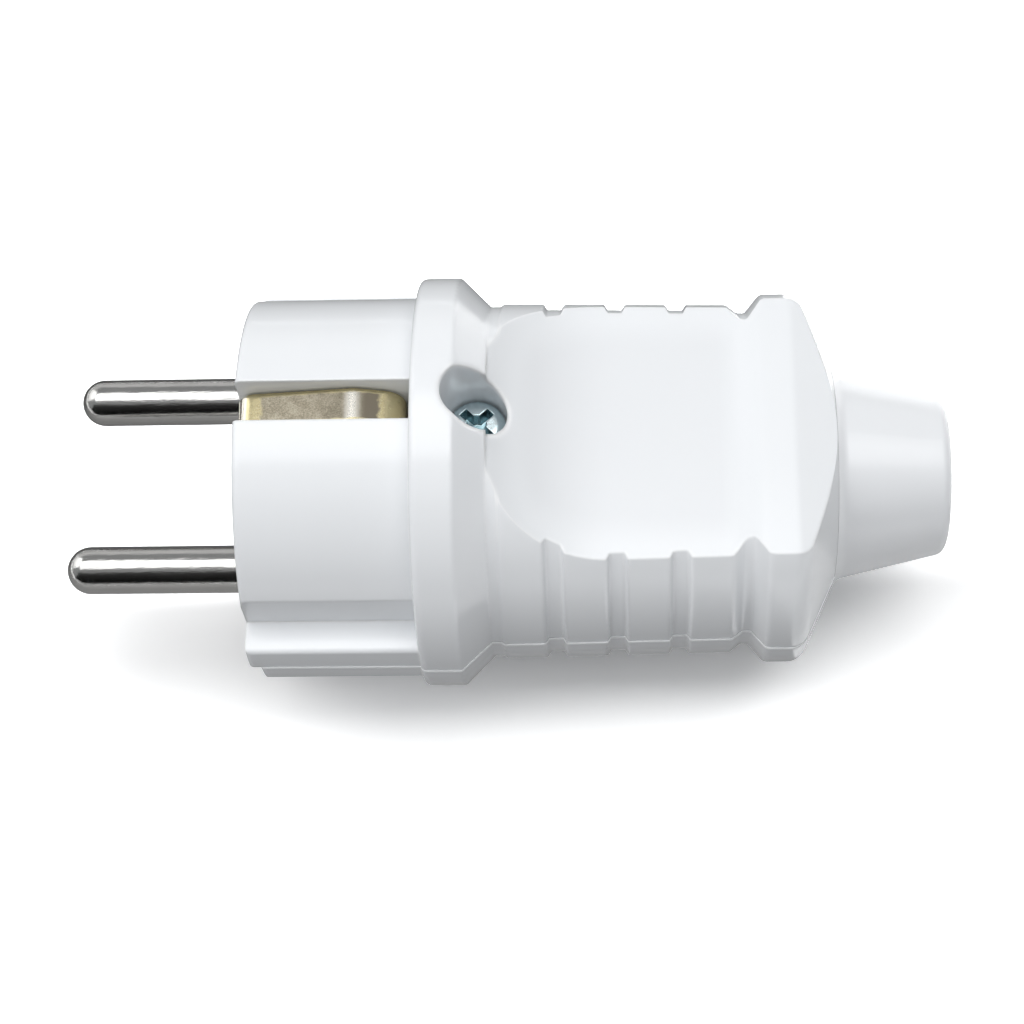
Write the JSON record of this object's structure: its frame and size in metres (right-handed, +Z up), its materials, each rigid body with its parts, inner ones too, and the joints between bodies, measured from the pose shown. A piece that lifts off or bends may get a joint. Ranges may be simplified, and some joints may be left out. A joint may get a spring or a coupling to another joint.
{
  "type": "grounded mains plug",
  "caption": "White rewirable mains plug with round pins, side earth contacts, guide ribs, a ribbed grip with a thumb scoop, a collar and a tapered cord sleeve.",
  "frame": {"origin": "middle of the bounding box in plan, on the surface the plug lies on", "axes": "+X along the plug from the pins towards the cord sleeve, +Y across both pins, +Z up; the plug's own axis dips 3.70 degrees towards +X, because flange and collar both touch the surface"},
  "size_m": [0.0887, 0.0414, 0.0411],
  "materials": {
    "housing_plastic": "smooth glossy white moulding",
    "sleeve_plastic": "smooth white moulding, a little softer",
    "pin_nickel": "polished nickel plate over brass",
    "strip_brass": "plated brass strip, worn on the contact face",
    "screw_zinc": "blue zinc plate",
    "clamp_plastic": "plain moulding"
  },
  "bodies": {
    "root": {"upper_shell": "housing_plastic", "lower_shell": "housing_plastic", "cord_sleeve": "sleeve_plastic", "left_pin": "pin_nickel", "right_pin": "pin_nickel", "earth_strip": "strip_brass", "housing_screw": "screw_zinc", "housing_nut": "screw_zinc", "terminal_screws": "screw_zinc", "cord_clamp": "clamp_plastic", "clamp_screws": "screw_zinc"}
  },
  "joints": []
}
